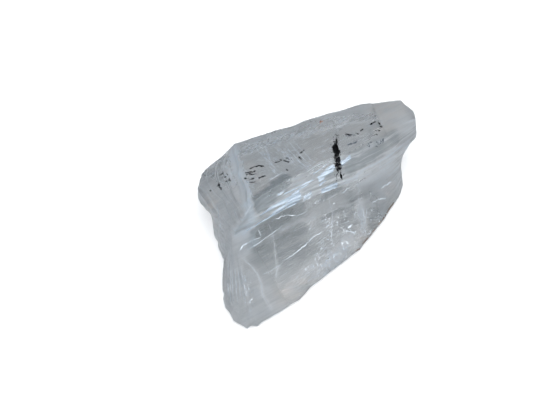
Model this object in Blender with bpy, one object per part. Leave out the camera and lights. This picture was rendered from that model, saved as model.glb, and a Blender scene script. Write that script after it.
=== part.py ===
"""A selenite crystal blade: one crystal, a thick rib with a fin that thins to a knife edge.

Selenite cleaves in flat sheets, and this crystal lies on one of them, so the body is built sheet by sheet
from the ground up. Seen from above, its outline runs through named corners. Each corner has a place at
three heights: at the knife edge of the fin, at the step where the rib rises out of the fin, and at the
crest round the flat top. Between those heights the faces are ruled surfaces, broken into ledges where the
sheets end in the open.

Lengths are in millimetres until the mesh is made, +Z is up and +X runs along the rib.
"""

import math
from collections import namedtuple

import bmesh
import bpy
from mathutils import Vector, noise

METRES = 0.001

# Heights above the face that the crystal lies on
EDGE_HEIGHT = 2.0
STEP_HEIGHT = 17.0
TOP_HEIGHT = 26.5

# The fin runs in under the rib by this lip, and the ground edge is worn back by this chamfer
LIP = 1.6
GROUND_CHAMFER = 1.1

# Cleavage sheets, how uneven their thickness is, and the rise of the worn corner between two of them
FIN_SHEETS = 8
RIB_SHEETS = 6
SHEET_SPREAD = 0.75
LEDGE_RISE = 0.24

# Noise cycles per millimetre: ridges up the faces, how the sheets stray, and the wear of the whole outline
RIDGE_PITCH = 0.27
STRAY_PITCH = 0.11
WEAR_PITCH = 0.16
WEAR_DEPTH = 0.4

# Places along the noise, so that the ridges, the wear and each sheet are unlike one another
RIDGE_SEED = 11.0
WEAR_SEED = 40.0
SHEET_SEED = 5.3
THICKNESS_SEED = 3.7

# Side finish: spacing of the points along the outline, depth of the ridges that run up the face to the
# step, and how far each sheet strays from the face and how fully it steps, below and above the step
Finish = namedtuple("Finish", "spacing ridges stray_below terrace_below stray_above terrace_above")
CLEAVED = Finish(2.9, 0.15, 0.12, 0.00, 0.64, 0.55)
GROWN = Finish(3.0, 0.50, 0.50, 0.30, 0.50, 0.30)
BROKEN = Finish(2.1, 1.20, 0.44, 0.12, 1.50, 0.80)
WORN = Finish(2.4, 0.60, 0.60, 0.25, 0.60, 0.30)

# Corners of the outline, anticlockwise from the front left: their place at the edge, the step and the top
Corner = namedtuple("Corner", "name edge step top finish")
CORNERS = (
    Corner("tip", (-48.6, -29.9), (-35.0, 2.7), (-22.6, 6.4), CLEAVED),
    Corner("tip_notch", (-46.6, -29.4), (-34.2, 2.6), (-21.8, 6.4), CLEAVED),
    Corner("tip_front", (-44.8, -31.3), (-33.3, 2.7), (-20.6, 6.9), CLEAVED),
    Corner("facet_foot", (-36.6, -29.0), (-31.0, 2.9), (-16.0, 8.0), CLEAVED),
    Corner("front_left", (-23.8, -30.4), (-15.5, 2.5), (-5.0, 9.2), CLEAVED),
    Corner("front_dip", (-17.0, -27.8), (-6.2, 2.9), (1.4, 8.7), CLEAVED),
    Corner("front_middle", (12.2, -23.4), (9.3, 1.5), (13.0, 9.9), CLEAVED),
    Corner("front_right", (28.9, -17.0), (29.5, -1.3), (30.0, 6.3), CLEAVED),
    Corner("fin_shoulder", (44.2, -10.0), (42.0, -1.0), (47.0, 6.4), CLEAVED),
    Corner("fin_corner", (50.6, -5.3), (49.0, -0.2), (53.0, 7.2), CLEAVED),
    Corner("fin_end", (53.8, -0.9), (53.2, 1.2), (56.0, 7.9), WORN),
    Corner("rib_heel", (58.2, 8.8), (63.4, 4.4), (65.0, 8.0), WORN),
    Corner("rib_end", (61.5, 15.0), (68.7, 10.6), (67.0, 13.4), WORN),
    Corner("knob", (61.5, 22.5), (66.4, 20.6), (66.8, 21.2), WORN),
    Corner("knob_root", (59.5, 27.2), (61.8, 25.6), (63.0, 23.2), WORN),
    Corner("back_right", (50.0, 31.0), (50.0, 30.2), (50.0, 28.6), GROWN),
    Corner("back_middle", (22.0, 38.0), (22.0, 36.2), (22.0, 33.4), GROWN),
    Corner("shoulder", (-11.0, 43.5), (-14.5, 43.4), (-12.2, 38.4), GROWN),
    Corner("lobe_back", (-24.0, 40.5), (-29.0, 38.6), (-13.4, 33.0), BROKEN),
    Corner("lobe", (-29.5, 36.0), (-34.4, 32.0), (-14.8, 28.0), BROKEN),
    Corner("notch", (-30.9, 29.3), (-35.9, 22.5), (-17.0, 22.0), BROKEN),
    Corner("left_upper", (-37.0, 15.0), (-35.6, 15.5), (-19.0, 16.5), BROKEN),
    Corner("left_middle", (-41.6, -1.4), (-35.3, 10.5), (-20.4, 12.5), BROKEN),
    Corner("left_low", (-50.2, -13.2), (-35.1, 6.5), (-21.6, 9.0), BROKEN),
    Corner("tip_left", (-51.6, -24.2), (-35.2, 4.5), (-22.2, 7.6), BROKEN),
)
NAMES = [corner.name for corner in CORNERS]

# Lumps, knobs and chips: corner, offset towards the next, height, push outwards, reach along and reach up
Lump = namedtuple("Lump", "corner offset height push along rise")
LUMPS = (
    Lump("lobe", 0.65, 12.8, 2.7, 0.65, 2.6),
    Lump("lobe_back", 0.60, 19.4, 2.2, 0.80, 2.0),
    Lump("tip", 0.0, 9.0, 1.6, 0.80, 5.0),
    Lump("facet_foot", 0.0, 6.0, 2.4, 0.50, 6.5),
    Lump("left_middle", 0.10, 3.0, -1.7, 0.35, 5.0),
    Lump("rib_heel", -0.3, 9.0, -1.8, 0.60, 5.5),
    Lump("knob", 0.2, 26.0, 0.6, 0.50, 6.0),
)

# The top sheet has broken away to the right of a line, which leaves a low ledge across the flat top: a
# point of the line, the direction across it, and the drop and the run of the ledge
BREAK_POINT = (48.6, 12.2)
BREAK_ACROSS = (0.943, -0.333)
BREAK_DROP = 0.5
BREAK_RUN = 0.35
ON_LINE = 1e-4

STONE_COLOUR = (0.62, 0.67, 0.72, 1.0)
STONE_ROUGHNESS = 0.2
STONE_IOR = 1.52


def mix(low, high, share):
    return low + (high - low) * share


def wander(point, pitch, seed):
    """Smooth noise between about -1 and 1 over a place in the plan."""
    return noise.noise(Vector((point.x * pitch, point.y * pitch, seed)))


def sheet_heights():
    """The heights of the planes that part the sheets, a little uneven, with the step on one of them."""
    heights = [EDGE_HEIGHT]
    for low, high, count in ((EDGE_HEIGHT, STEP_HEIGHT, FIN_SHEETS), (STEP_HEIGHT, TOP_HEIGHT, RIB_SHEETS)):
        thickness = (high - low) / count
        for i in range(1, count):
            uneven = SHEET_SPREAD * noise.noise(Vector((low, i * THICKNESS_SEED, 0.5)))
            heights.append(low + (i + uneven) * thickness)
        heights.append(high)
    return heights


def stations():
    """(corner number, share of the way to the next corner) of each point of the outline."""
    places = []
    for i, corner in enumerate(CORNERS):
        following = CORNERS[(i + 1) % len(CORNERS)]
        reach = max(
            math.dist(corner.edge, following.edge),
            math.dist(corner.top, following.top),
        )
        spacing = mix(corner.finish.spacing, following.finish.spacing, 0.5)
        count = max(1, round(reach / spacing))
        places += [(i, j / count) for j in range(count)]
    return places


def corner_at(corner, height, over_step):
    """The corner's place at a height. Under the step, the fin's front runs in behind the lip."""
    edge, step, top = (Vector(place) for place in corner[1:4])
    if over_step:
        share = (height - STEP_HEIGHT) / (TOP_HEIGHT - STEP_HEIGHT)
        return step.lerp(top, share)
    if corner.finish is CLEAVED:
        step = step + Vector((0.0, LIP))
    share = (height - EDGE_HEIGHT) / (STEP_HEIGHT - EDGE_HEIGHT)
    return edge.lerp(step, share)


def lump_push(place, height):
    """How far the lumps and chips move the outline outwards at a place and height."""
    i, share = place
    push = 0.0
    for lump in LUMPS:
        apart = i + share - NAMES.index(lump.corner) - lump.offset
        apart = (apart + len(CORNERS) / 2) % len(CORNERS) - len(CORNERS) / 2
        away = (apart / lump.along) ** 2 + ((height - lump.height) / lump.rise) ** 2
        push += lump.push * math.exp(-away)
    return push


def outward(points, i):
    """The direction away from the outline at point i, for an outline that runs anticlockwise."""
    along = points[(i + 1) % len(points)] - points[i - 1]
    return Vector((along.y, -along.x)).normalized()


def ridge_push(place, depth):
    """The push of the ridges and grooves that run up the face along the lines from edge to step."""
    i, share = place
    foot = Vector(CORNERS[i].edge).lerp(Vector(CORNERS[(i + 1) % len(CORNERS)].edge), share)
    return depth * wander(foot, RIDGE_PITCH, RIDGE_SEED)


def sheet_loop(places, sheet, low, high, upper):
    """The outline of one sheet's wall at its foot or head, as a list of 3-D points."""
    over_step = low >= STEP_HEIGHT
    z = high - LEDGE_RISE / 2 if upper else low + LEDGE_RISE / 2
    straight, pushes = [], []
    for i, share in places:
        corner, following = CORNERS[i], CORNERS[(i + 1) % len(CORNERS)]
        finish = Finish(*(mix(a, b, share) for a, b in zip(corner.finish, following.finish)))
        stray = finish.stray_above if over_step else finish.stray_below
        terrace = finish.terrace_above if over_step else finish.terrace_below
        face_height = mix(z, (low + high) / 2, terrace)
        a = corner_at(corner, face_height, over_step)
        b = corner_at(following, face_height, over_step)
        point = a.lerp(b, share)
        push = stray * wander(point, STRAY_PITCH, sheet * SHEET_SEED)
        push += WEAR_DEPTH * wander(point, WEAR_PITCH, WEAR_SEED)
        push += lump_push((i, share), face_height)
        if not over_step:
            push += ridge_push((i, share), finish.ridges)
        straight.append(point)
        pushes.append(push)
    moved = [point + outward(straight, n) * pushes[n] for n, point in enumerate(straight)]
    return [Vector((point.x, point.y, z)) for point in moved]


def outline_loops():
    """Every loop of the body's surface, from the ground to the flat top."""
    places, heights = stations(), sheet_heights()
    loops = []
    for sheet, (low, high) in enumerate(zip(heights, heights[1:])):
        loops.append(sheet_loop(places, sheet, low, high, upper=False))
        loops.append(sheet_loop(places, sheet, low, high, upper=True))
    foot = [point.to_2d() for point in loops[0]]
    ground = [point - outward(foot, i) * GROUND_CHAMFER for i, point in enumerate(foot)]
    loops.insert(0, [Vector((point.x, point.y, 0.0)) for point in ground])
    loops[-1] = [Vector((point.x, point.y, TOP_HEIGHT)) for point in loops[-1]]
    return loops


def break_top_sheet(bm):
    """Cuts the flat top along the foot and head of the ledge and lowers what lies to the right of it."""
    across = Vector((*BREAK_ACROSS, 0.0)).normalized()
    for shift in (0.0, BREAK_RUN):
        cap = [face for face in bm.faces if all(vert.co.z == TOP_HEIGHT for vert in face.verts)]
        edges = {edge for face in cap for edge in face.edges}
        verts = {vert for face in cap for vert in face.verts}
        line = Vector((*BREAK_POINT, TOP_HEIGHT)) + across * shift
        bmesh.ops.bisect_plane(bm, geom=[*cap, *edges, *verts], plane_co=line, plane_no=across)
    for vert in bm.verts:
        if vert.co.z == TOP_HEIGHT and across.dot(vert.co - line) > -ON_LINE:
            vert.co.z -= BREAK_DROP


def crystal_mesh():
    """The body as one closed mesh in metres, resting on z = 0 with the middle of its box over the origin."""
    loops = outline_loops()
    bm = bmesh.new()
    rings = [[bm.verts.new(point) for point in loop] for loop in loops]
    for lower, upper in zip(rings, rings[1:]):
        for i in range(len(lower)):
            j = (i + 1) % len(lower)
            bm.faces.new((lower[i], lower[j], upper[j], upper[i]))
    bm.faces.new(rings[0][::-1])
    bm.faces.new(rings[-1])
    break_top_sheet(bm)
    bmesh.ops.triangulate(bm, faces=bm.faces[:])
    xs = [vert.co.x for vert in bm.verts]
    ys = [vert.co.y for vert in bm.verts]
    middle = Vector(((min(xs) + max(xs)) / 2, (min(ys) + max(ys)) / 2, 0.0))
    bmesh.ops.translate(bm, verts=bm.verts[:], vec=-middle)
    bmesh.ops.scale(bm, verts=bm.verts[:], vec=(METRES,) * 3)
    mesh = bpy.data.meshes.new("crystal_blade")
    bm.to_mesh(mesh)
    bm.free()
    return mesh


def stone_material():
    material = bpy.data.materials.new("selenite")
    material.use_nodes = True
    shader = material.node_tree.nodes["Principled BSDF"]
    shader.inputs["Base Color"].default_value = STONE_COLOUR
    shader.inputs["Roughness"].default_value = STONE_ROUGHNESS
    shader.inputs["Metallic"].default_value = 0.0
    shader.inputs["IOR"].default_value = STONE_IOR
    return material


def main():
    for old in list(bpy.data.objects):
        bpy.data.objects.remove(old)
    crystal = bpy.data.objects.new("crystal_blade", crystal_mesh())
    crystal.data.materials.append(stone_material())
    bpy.context.scene.collection.objects.link(crystal)


main()
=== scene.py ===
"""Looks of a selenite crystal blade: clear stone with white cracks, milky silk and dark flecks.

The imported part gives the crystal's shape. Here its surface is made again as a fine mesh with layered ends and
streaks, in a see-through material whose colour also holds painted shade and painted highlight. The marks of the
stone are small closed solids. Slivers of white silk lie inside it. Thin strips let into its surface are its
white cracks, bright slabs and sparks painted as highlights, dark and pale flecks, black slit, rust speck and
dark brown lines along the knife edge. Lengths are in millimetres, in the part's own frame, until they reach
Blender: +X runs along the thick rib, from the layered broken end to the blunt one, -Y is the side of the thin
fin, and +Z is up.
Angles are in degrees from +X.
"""

import math
from collections import namedtuple

import bmesh
import bpy
import numpy as np
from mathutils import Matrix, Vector, noise
from mathutils.bvhtree import BVHTree


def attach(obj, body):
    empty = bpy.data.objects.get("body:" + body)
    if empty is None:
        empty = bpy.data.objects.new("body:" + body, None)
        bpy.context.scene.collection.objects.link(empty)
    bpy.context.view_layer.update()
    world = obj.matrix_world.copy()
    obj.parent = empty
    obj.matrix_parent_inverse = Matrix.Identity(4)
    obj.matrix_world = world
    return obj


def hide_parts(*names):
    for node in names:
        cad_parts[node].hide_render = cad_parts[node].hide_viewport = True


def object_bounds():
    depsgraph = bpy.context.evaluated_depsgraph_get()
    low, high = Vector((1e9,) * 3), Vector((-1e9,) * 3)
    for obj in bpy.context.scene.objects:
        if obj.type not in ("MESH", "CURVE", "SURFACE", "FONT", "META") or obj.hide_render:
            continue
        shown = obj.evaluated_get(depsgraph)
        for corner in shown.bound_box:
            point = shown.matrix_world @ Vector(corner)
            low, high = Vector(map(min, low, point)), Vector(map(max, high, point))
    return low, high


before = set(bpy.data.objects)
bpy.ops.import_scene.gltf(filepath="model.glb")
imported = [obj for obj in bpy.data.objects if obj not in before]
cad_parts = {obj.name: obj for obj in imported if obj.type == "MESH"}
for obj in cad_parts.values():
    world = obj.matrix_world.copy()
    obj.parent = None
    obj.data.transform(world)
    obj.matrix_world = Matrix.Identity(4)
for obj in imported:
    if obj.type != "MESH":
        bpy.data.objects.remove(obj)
cad_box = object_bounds()

MM = 0.001

# The camera looks down on the crystal from its broken end
CAMERA_AZIMUTH = -33.0
CAMERA_ELEVATION = 50.0
CAMERA_DISTANCE = 317.0
CAMERA_LENS = 50.0
CAMERA_SENSOR = 36.0
FRAME_WIDTH = 533
FRAME_HEIGHT = 400
AIM_POINT = (-8.65, -6.23, 10.5)
AIM_PIXEL = (306.5, 213.0)

# The studio: a plain dome with a pale backdrop, and a wide overhead light with its spread and tilt
DOME_COLOUR = (0.90, 0.95, 1.0, 1.0)
DOME_STRENGTH = 0.52
BACKDROP_COLOUR = (0.97, 0.98, 1.0, 1.0)
BACKDROP_STRENGTH = 1.0
OVERHEAD_STRENGTH = 2.0
OVERHEAD_SPREAD = 70.0
OVERHEAD_TILT = (12.0, 10.0)

# Soft boxes: name, direction, width, height and radiance
SOFTBOX_DISTANCE = 500.0
SOFTBOXES = (
    ("front_softbox", (0.35, -0.87, 0.32), 260.0, 160.0, 2.0),
    ("left_softbox", (-0.90, -0.25, 0.40), 400.0, 300.0, 3.5),
)

# The floor: half its width, how far it lies below the crystal, and its finish
FLOOR_HALF = 3000.0
FLOOR_DROP = 0.05
FLOOR_COLOUR = (0.92, 0.92, 0.92, 1.0)
FLOOR_ROUGHNESS = 0.8
FLOOR_GLOSS = 0.1
FLOOR_GLOW = 0.15

# The fine mesh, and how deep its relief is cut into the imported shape
FINE_VOXEL = 0.5
LAYER_PITCH = 1.2
LAYER_DEPTH = 0.06
STREAK_DEPTH = 0.035

# Noise of the relief, as the lengths of its lumps along x, y and z: how the layers drift, with a share of
# finer drift, where they are strong, and the grooves, with a share of finer grooves
LAYER_DRIFT = (9.0, 9.0, 30.0)
FINE_DRIFT = (2.5, 2.5, 6.0)
FINE_DRIFT_SHARE = 0.4
STRONG_LAYERS = (6.0, 6.0, 1.7)
GROOVES = (22.0, 1.3, 1.6)
FINE_GROOVES = (9.0, 0.7, 0.9)
FINE_GROOVE_SHARE = 0.6

# The share of the layers' relief that stone away from the broken end has
LAYERS_ELSEWHERE = 0.2

# How upright the surface's normal is on steep sides, on flat tops, and where it turns away from the underside
STEEP = (0.35, 0.75)
FLAT = (0.75, 0.95)
NOT_UNDER = (-0.6, -0.2)

# Where along x the blunt end starts to be rounded, how many times it is smoothed, and how far each time
BLUNT_END = (42.0, 52.0)
BLUNT_SMOOTHING = 10
BLUNT_SHARE = 0.5

# Where along x the layers of the broken end die out, and the heights below which the stone is thin. There its
# colour is darkened as painted shade, and its flecks are smaller
BROKEN_END = (-42.0, -34.0)
THIN_BELOW = (22.0, 25.5)

# How much painted shade darkens the low, thin stone, and how much more away from the broken end
THIN_STONE_PAINTED_SHADE = 0.36
THIN_STONE_PAINTED_SHADE_ELSEWHERE = 0.08

# Paths across the crystal are drawn in short steps that wander to each side
STEP = 0.8
FINE_STEP = 0.3
ABOVE_ALL = 60.0

# How deep the strips in the surface go
CRACK_DEPTH = 0.3
SLIT_DEPTH = 1.2
SPECK_DEPTH = 0.12
DARK_EDGE_DEPTH = 0.1

# Ragged edges of the strips: how rough, and at what pitch
CRACK_EDGE = (1.1, 1.7)
GLINT_EDGE = (0.35, 1.2)
SLIT_EDGE = (1.3, 0.7)

# The share of a crack over which each end tapers, and how far a bright slab wanders
CRACK_TAPER = 0.15
GLINT_SWAY = 0.06

# Specks in the surface: how their headings spread, half lengths and half widths. Rust lies any way round
Speck = namedtuple("Speck", "spread half_lengths half_widths")
FLECK = Speck(35.0, (0.15, 0.5), (0.07, 0.2))
SLIT_FLECK = Speck(30.0, (0.2, 0.55), (0.06, 0.18))
RUST_GRAIN = Speck(180.0, (0.25, 0.5), (0.12, 0.25))

# Thin white cracks: half width, how far they wander, and the path of x and y
CRACKS = (
    (0.17, 0.5, ((-30.7, -20.6), (-24.6, -20.2), (-19.1, -19.2), (-13.8, -17.8), (-7.5, -17.4))),
    (0.08, 0.4, ((-41.3, -21.9), (-36.6, -21.8), (-32.5, -21.4), (-30.9, -21.1))),
    (0.15, 0.2, ((-32.7, -4.8), (-33.3, -8.8))),
    (0.28, 0.2, ((-44.0, -9.6), (-41.8, -8.4), (-39.6, -8.4))),
    (0.10, 0.2, ((-39.6, -8.4), (-36.5, -8.4), (-33.6, -8.8))),
    (0.08, 0.2, ((-41.4, -10.7), (-35.0, -10.3), (-29.0, -9.5), (-22.6, -8.8))),
    (0.13, 0.5, ((-24.6, -4.9), (-21.8, -5.2), (-18.3, -6.0), (-14.3, -7.8), (-9.0, -7.9))),
    (0.05, 0.4, ((-27.7, -5.6), (-28.1, -8.8), (-29.5, -12.7), (-32.2, -17.7), (-33.4, -20.7))),
    (0.06, 0.4, ((-33.4, -20.7), (-37.4, -26.1))),
    (0.08, 0.4, ((2.3, -6.4), (1.3, -9.1), (0.5, -12.1), (-2.2, -16.1), (-4.9, -19.6), (-7.3, -23.5))),
    (0.18, 0.2, ((2.9, -20.4), (6.0, -19.9))),
    (0.20, 0.3, ((1.4, -20.8), (3.4, -22.0), (5.5, -23.5))),
    (0.10, 0.4, ((8.5, -8.2), (11.2, -7.8), (13.2, -7.5))),
    (0.08, 0.3, ((3.0, -6.6), (2.8, -7.5), (5.7, -7.5))),
    (0.10, 0.3, ((14.9, -15.2), (12.9, -19.0), (12.0, -21.2))),
    (0.08, 0.3, ((16.4, -16.0), (12.6, -20.8))),
    (0.14, 0.4, ((9.8, -25.4), (11.6, -25.6), (13.4, -24.2))),
    (0.15, 0.3, ((27.7, -12.2), (32.3, -11.5), (34.0, -11.0))),
    (0.10, 0.4, ((18.0, -16.8), (20.7, -16.7))),
    (0.10, 0.4, ((19.2, -15.7), (23.3, -15.6), (28.7, -15.7))),
    (0.14, 0.2, ((-13.6, -14.6), (-11.7, -14.1))),
    (0.09, 0.3, ((-2.8, 21.1), (-3.0, 9.3), (-3.0, 1.8))),
    (0.10, 0.4, ((-0.2, 21.0), (-0.6, 9.1), (0.2, -1.4))),
    (0.07, 0.3, ((1.9, 20.3), (1.6, 7.0), (3.0, 1.4))),
    (0.13, 0.3, ((-20.5, 6.1), (-14.9, 6.7), (-11.8, 6.8))),
    (0.06, 0.3, ((-14.2, 25.8), (-14.1, 17.2), (-13.4, 7.3))),
    (0.05, 0.6, ((-46.3, -13.1), (-48.9, -19.0), (-49.7, -22.0), (-52.0, -24.4), (-53.0, -28.5))),
    (0.06, 0.3, ((-44.8, -12.5), (-43.6, -15.9), (-42.6, -20.3), (-43.5, -24.7), (-45.2, -27.9),
                 (-45.0, -34.0))),
    (0.08, 0.3, ((-50.3, -10.2), (-57.0, -21.2))),
    (0.06, 0.3, ((-50.4, -12.3), (-57.8, -24.3))),
    (0.08, 0.3, ((-50.5, -13.7), (-57.2, -25.3))),
    (0.06, 0.3, ((-49.4, -14.0), (-53.0, -21.0), (-56.0, -27.0))),
    (0.06, 0.3, ((-48.4, -14.6), (-51.0, -20.0), (-54.0, -25.5))),
    (0.05, 0.3, ((-47.2, -7.2), (-50.6, -10.8))),
    (0.07, 0.4, ((-41.0, 14.0), (-43.2, 9.0), (-45.0, 3.0))),
    (0.05, 0.4, ((-37.5, 13.0), (-40.0, 6.0), (-41.5, 1.0))),
    (0.05, 0.4, ((-35.4, 12.0), (-37.8, 5.0), (-39.0, 0.0))),
    (0.06, 0.3, ((48.6, 2.5), (55.0, 1.8))),
)

# Slivers of silk: how their headings spread, half lengths, half widths, and how their tilt spreads
Sliver = namedtuple("Sliver", "spread half_lengths half_widths tilt")
BAND_SLIVER = Sliver(6.0, (0.5, 1.8), (0.05, 0.11), 25.0)
LOOSE_SLIVER = Sliver(5.0, (0.5, 3.0), (0.04, 0.10), 30.0)
SLIVER_HALF_HEIGHT = 0.03

# The stone that has to lie over and under a sliver
SLIVER_MARGIN = 0.15

# Silk in a band: slivers in a square millimetre at density 1, least depth, and spread of the depth
SILK_PER_AREA = 2.2
SILK_DEPTH = 0.3
SILK_DEPTH_SPREAD = 1.6

# Loose silk: how many slivers are tried, their heading, the shares of the stone's height they lie at, the
# length and width of their patches, and the noise between which the patches fade out
LOOSE_SILK = 4500
LOOSE_HEADING = 2.0
LOOSE_HEIGHTS = (0.35, 0.97)
LOOSE_PATCH = (14.0, 5.0)
LOOSE_FADE = (-0.4, 0.4)

# Bands of silk: how dense each is, its half width, the way its slivers run, and its path
SILK = (
    (1.3, 2.4, 100, ((-21.5, 32.0), (-26.4, 21.0), (-29.4, 10.0), (-31.6, 1.0))),
    (0.8, 1.2, 105, ((-27.7, 27.8), (-29.9, 18.6), (-33.5, 7.8))),
    (0.9, 4.0, 20, ((-33.0, -3.0), (-39.0, -4.0), (-44.0, -5.5))),
    (0.7, 1.3, 1, ((-28.3, -1.2), (-13.1, -0.2), (-3.2, -0.4), (9.0, -1.2))),
    (0.7, 2.2, 95, ((-10.9, 24.0), (-13.0, 15.8), (-15.0, 8.2))),
    (0.7, 2.2, 95, ((-6.0, 22.0), (-4.1, 10.0), (-0.2, 0.4))),
    (0.5, 3.0, 2, ((-20.0, 29.0), (-6.0, 25.0), (10.0, 21.5), (30.0, 18.0))),
    (0.5, 2.5, 30, ((-11.4, -11.9), (-8.0, -11.0))),
    (0.9, 2.2, 60, ((16.3, -10.5), (12.6, -16.9), (10.0, -22.8), (9.8, -25.0))),
    (0.5, 2.6, 5, ((19.0, -8.2), (24.0, -9.0), (31.0, -8.0), (38.0, -5.5))),
    (0.6, 2.0, 60, ((-45.0, -28.0), (-50.0, -20.0), (-47.0, -13.0))),
    (0.9, 2.5, 60, ((-54.0, -31.0), (-47.0, -34.5), (-44.0, -34.5))),
    (0.7, 3.0, 5, ((-30.0, -29.5), (-20.0, -29.0), (-9.3, -28.0), (0.0, -26.0))),
    (0.8, 1.2, 5, ((-18.0, -30.5), (-12.0, -30.6), (-8.0, -29.0))),
    (0.6, 2.0, 20, ((20.6, -20.6), (24.0, -18.4))),
    (0.4, 3.0, 2, ((44.0, 4.0), (50.0, 0.0))),
    (0.6, 3.0, 40, ((-14.0, -22.0), (-9.0, -26.0))),
)

# Painted highlights: bright slabs where the cleavage steps of the bevel catch the light. Half width at each
# end, and the ends
GLINTS = (
    (0.14, 0.18, (-37.5, -4.1), (-32.0, -3.9)),
    (0.12, 0.30, (-32.0, -3.8), (-17.0, -3.0)),
    (0.45, 0.55, (-17.0, -3.0), (-9.6, -3.0)),
    (0.08, 0.38, (-30.0, -2.4), (-22.0, -1.8)),
    (0.25, 1.05, (-22.0, -1.8), (-9.4, -1.9)),
    (0.18, 0.22, (-16.5, -0.2), (-1.5, -0.4)),
    (0.12, 0.12, (-13.0, -0.9), (-4.5, -0.9)),
    (0.35, 0.30, (-8.5, -3.6), (-4.6, -3.4)),
    (0.90, 1.00, (0.5, -0.9), (9.6, 0.1)),
    (0.90, 0.50, (12.8, -0.4), (17.8, -0.4)),
    (0.45, 0.40, (0.2, -4.2), (8.0, -5.0)),
    (0.25, 0.20, (0.1, -2.6), (4.0, -2.2)),
    (0.15, 0.12, (-0.5, 1.2), (6.5, 1.9)),
    (0.22, 0.12, (-19.3, 0.2), (-16.3, 0.4)),
)

# Sparks: the least half width, how much more the largest have, how many times longer than wide they are,
# their heading, and its spread
SPARK_LEAST = 0.065
SPARK_MORE = 0.13
SPARK_STRETCH = (1.0, 2.5)
SPARK_HEADING = 20.0
SPARK_SPREAD = 30.0

# Fields of small bright sparks, painted as sparkle highlights: how many in a square millimetre, the half width
# and path of the field
SPARKS = (
    (1.4, 2.8, ((-2.0, -10.0), (-4.0, -16.0), (-7.0, -24.0))),
    (2.6, 2.6, ((-20.0, -29.5), (-14.0, -28.5), (-6.0, -27.0), (0.0, -24.5))),
    (1.0, 3.6, ((-2.0, -20.0), (4.0, -24.0), (10.0, -25.0))),
    (0.4, 4.0, ((-1.0, -14.0), (6.0, -16.0), (16.0, -20.0))),
    (0.5, 2.0, ((18.0, -22.0), (26.0, -18.5))),
    (1.0, 1.5, ((-9.0, -5.8), (-3.0, -6.8), (0.0, -6.8))),
    (9.0, 0.8, ((-9.0, -3.6), (-4.2, -3.4))),
    (5.0, 0.6, ((-19.5, 0.2), (-16.0, 0.4))),
    (0.6, 1.3, ((-48.0, -19.0), (-50.5, -23.0), (-53.0, -29.0), (-53.8, -33.0))),
    (1.2, 1.9, ((-46.4, -17.8), (-49.1, -23.6), (-51.2, -29.1))),
    (2.0, 1.2, ((-24.3, -27.9), (-17.7, -26.4), (-13.0, -23.3), (-9.9, -20.3))),
    (0.9, 0.5, ((-20.0, 32.5), (-5.0, 28.5), (10.0, 25.5), (34.0, 22.0))),
)

# Dark brown lines along the fin's knife edge: their ends along x, how far in from the edge they lie, their half
# width at the start, middle and end of each step, and the noise below which a gap is left
DARK_EDGE_SPAN = (1.0, 31.0)
DARK_EDGE_INSET = 0.4
DARK_EDGE_HALF_WIDTHS = (0.18, 0.24, 0.18)
DARK_EDGE_GAP = -0.1

# The search for the knife edge: where it starts along y, its step, and how high the stone is at the edge
MIDDLE_OF_FIN = -10.0
SEARCH_STEP = 0.1
KNIFE_EDGE_HEIGHT = 0.6

# Soft marks wander by a share of their half width, and fade out over some half widths
MARK_SWAY = 0.6
MARK_FADE = 1.5

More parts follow.
